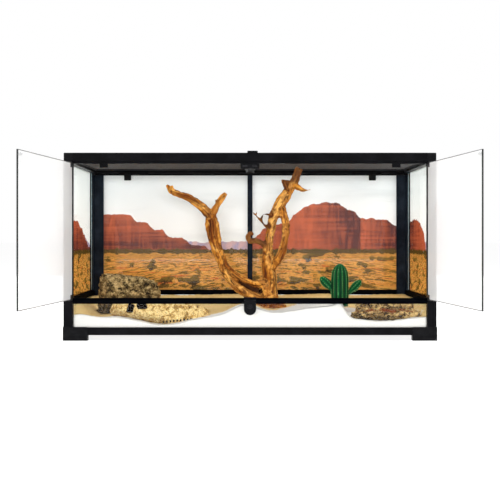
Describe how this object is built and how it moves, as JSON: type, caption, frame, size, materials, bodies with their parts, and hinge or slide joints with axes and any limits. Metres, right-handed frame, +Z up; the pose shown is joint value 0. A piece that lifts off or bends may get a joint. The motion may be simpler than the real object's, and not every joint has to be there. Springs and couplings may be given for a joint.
{
  "type": "terrarium",
  "caption": "Front-opening glass terrarium with two swinging doors, keyed lock, lift-out screen tops, cable gates, printed backdrop and desert furnishings.",
  "frame": {"origin": "on the plane the feet stand on, mid-width, in the plane that the closed doors rest against, which lies within 5 mm of the bottom middle of the box round the cabinet with its doors open", "axes": "+X to the right as seen from the doors, +Y from the doors to the rear wall, +Z up"},
  "size_m": [0.967, 0.8907, 0.4656],
  "materials": {
    "frame_black": "satin black extrusion",
    "corner_plastic": "moulded satin black",
    "clear_glass": "clear float glass, green edge",
    "printed_film": "printed desert film",
    "screen_frame": "black anodised channel",
    "screen_wire": "dark wire mesh",
    "door_hardware": "black coated steel",
    "bush_nylon": "black nylon",
    "magnet": "plated magnet",
    "screw_steel": "zinc plated",
    "lock_body": "black die casting",
    "lock_metal": "plated",
    "sand": "loose pale sand",
    "driftwood": "dry barkless driftwood",
    "cactus_resin": "painted resin",
    "rock_olive": "rough painted stone",
    "rock_tan": "layered rough stone",
    "bone_resin": "matt cast bone"
  },
  "bodies": {
    "cabinet": {"backdrop_left": "printed_film", "backdrop_rear": "printed_film", "backdrop_right": "printed_film", "base_rail_front": "frame_black", "base_rail_left": "frame_black", "base_rail_rear": "frame_black", "base_rail_right": "frame_black", "basking_rock": "rock_olive", "cactus": "cactus_resin", "corner_screws": "screw_steel", "cross_bar": "frame_black", "cross_bar_clips": "frame_black", "door_bushes": "bush_nylon", "door_catch": "frame_black", "door_magnets": "magnet", "driftwood_branch": "driftwood", "floor_pane": "clear_glass", "foot_front_left": "corner_plastic", "foot_front_right": "corner_plastic", "foot_rear_left": "corner_plastic", "foot_rear_right": "corner_plastic", "lock_housing": "lock_body", "lower_pane_front": "clear_glass", "lower_pane_rear": "clear_glass", "lower_panes_side": "clear_glass", "post_front_left": "frame_black", "post_front_right": "frame_black", "post_rear_center": "frame_black", "post_rear_left": "frame_black", "post_rear_right": "frame_black", "rock_ledge": "rock_tan", "sand_bed": "sand", "sill_rail_front": "frame_black", "sill_rail_left": "frame_black", "sill_rail_rear": "frame_black", "sill_rail_right": "frame_black", "skull_hide": "bone_resin", "top_corner_front_left": "corner_plastic", "top_corner_front_right": "corner_plastic", "top_corner_rear_left": "corner_plastic", "top_corner_rear_right": "corner_plastic", "top_rail_front": "frame_black", "top_rail_left": "frame_black", "top_rail_rear": "frame_black", "top_rail_right": "frame_black", "upper_pane_left": "clear_glass", "upper_pane_rear": "clear_glass", "upper_pane_right": "clear_glass"},
    "left_door": {"door_pane_left": "clear_glass", "door_fittings_left": "door_hardware"},
    "right_door": {"door_pane_right": "clear_glass", "door_fittings_right": "door_hardware"},
    "lock_plug": {"lock_plug": "lock_metal"},
    "lock_bolt": {"lock_bolt": "lock_metal"},
    "left_screen": {"screen_frame_left": "screen_frame", "screen_mesh_left": "screen_wire"},
    "right_screen": {"screen_frame_right": "screen_frame", "screen_mesh_right": "screen_wire"},
    "left_cable_gate": {"cable_gate_left": "frame_black"},
    "right_cable_gate": {"cable_gate_right": "frame_black"}
  },
  "joints": [
    {"name": "left_door_hinge", "type": "hinge", "parent": "cabinet", "child": "left_door", "pos_m": [-0.4395, -0.004, 0.27], "axis": [0, 0, -1], "range_deg": [-95.5, 18]},
    {"name": "right_door_hinge", "type": "hinge", "parent": "cabinet", "child": "right_door", "pos_m": [0.4395, -0.004, 0.27], "axis": [0, 0, 1], "range_deg": [-95.5, 18]},
    {"name": "lock_turn", "type": "hinge", "parent": "cabinet", "child": "lock_plug", "pos_m": [0, -0.0135, 0.0835], "axis": [0, -1, 0], "range_deg": [0, 90]},
    {"name": "lock_bolt_slide", "type": "slide", "parent": "cabinet", "child": "lock_bolt", "axis": [0, 0, 1], "range_m": [0, 0.0064]},
    {"name": "left_screen_lift", "type": "slide", "parent": "cabinet", "child": "left_screen", "axis": [0, 0, 1], "range_m": [0, 0.06]},
    {"name": "right_screen_lift", "type": "slide", "parent": "cabinet", "child": "right_screen", "axis": [0, 0, 1], "range_m": [0, 0.06]},
    {"name": "left_cable_gate_slide", "type": "slide", "parent": "cabinet", "child": "left_cable_gate", "axis": [1, 0, 0], "range_m": [0, 0.034]},
    {"name": "right_cable_gate_slide", "type": "slide", "parent": "cabinet", "child": "right_cable_gate", "axis": [-1, 0, 0], "range_m": [0, 0.034]}
  ],
  "couplings": [
    {"joint": "lock_bolt_slide", "follows": "lock_turn", "m_per_rad": 0.0040514}
  ]
}
